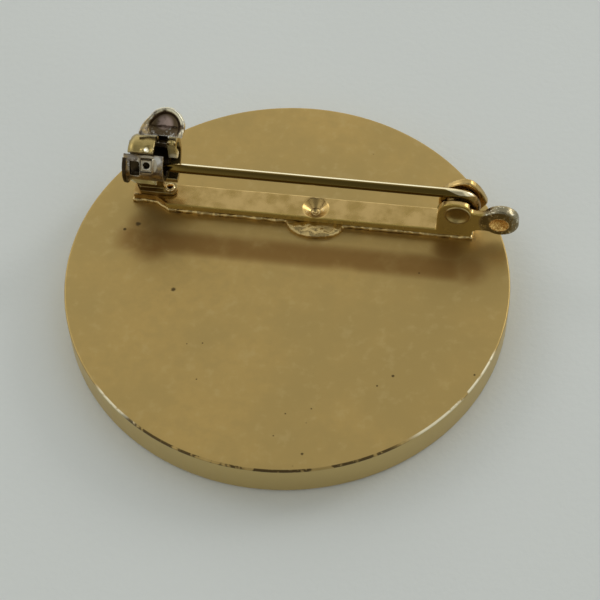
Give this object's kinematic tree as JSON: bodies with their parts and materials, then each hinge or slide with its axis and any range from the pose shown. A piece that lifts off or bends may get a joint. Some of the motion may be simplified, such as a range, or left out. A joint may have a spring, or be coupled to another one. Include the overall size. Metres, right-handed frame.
{
  "type": "enamel pin badge",
  "caption": "Round gilt enamel badge with a brooch bar on its back: a hinged pin stem swings up from a riveted joint, and a thumb-turned roller catch closes over its point.",
  "frame": {"origin": "middle of the enamelled front face", "axes": "+Z out of the plain back, +X along the brooch bar from the catch to the joint, +Y towards the edge nearer the bar"},
  "size_m": [0.0321, 0.032, 0.01],
  "materials": {
    "badge_metal": "satin gold plate with faint tarnish",
    "fitting_metal": "bright gold plate, worn at the edges",
    "stem_wire": "polished gold plate",
    "roller_metal": "nickel with its gold plate worn off",
    "solder": "crinkled soft solder under gold plate",
    "border_enamel": "polished hard enamel",
    "petal_enamel": "polished hard enamel",
    "field_enamel": "polished hard enamel"
  },
  "bodies": {
    "badge": {"badge_base": "badge_metal", "border_enamel": "border_enamel", "petal_enamel_1": "petal_enamel", "petal_enamel_2": "petal_enamel", "petal_enamel_3": "petal_enamel", "petal_enamel_4": "petal_enamel", "petal_enamel_5": "petal_enamel", "petal_enamel_6": "petal_enamel", "field_enamel_1": "field_enamel", "field_enamel_2": "field_enamel", "field_enamel_3": "field_enamel", "field_enamel_4": "field_enamel", "field_enamel_5": "field_enamel", "field_enamel_6": "field_enamel", "solder_bed": "solder", "brooch_bar": "fitting_metal", "joint_rivet": "fitting_metal", "catch_case": "fitting_metal", "case_rivet": "fitting_metal"},
    "stem": {"pin_stem": "stem_wire"},
    "roller": {"catch_roller": "roller_metal"}
  },
  "joints": [
    {"name": "stem_swing", "type": "hinge", "parent": "badge", "child": "stem", "pos_m": [0.01172, 0.00581, 0.0055], "axis": [0, 1, 0], "range_deg": [0, 100]},
    {"name": "roller_turn", "type": "hinge", "parent": "badge", "child": "roller", "pos_m": [-0.0109, 0.00597, 0.00713], "axis": [1, 0, 0], "range_deg": [-10, 75]}
  ]
}
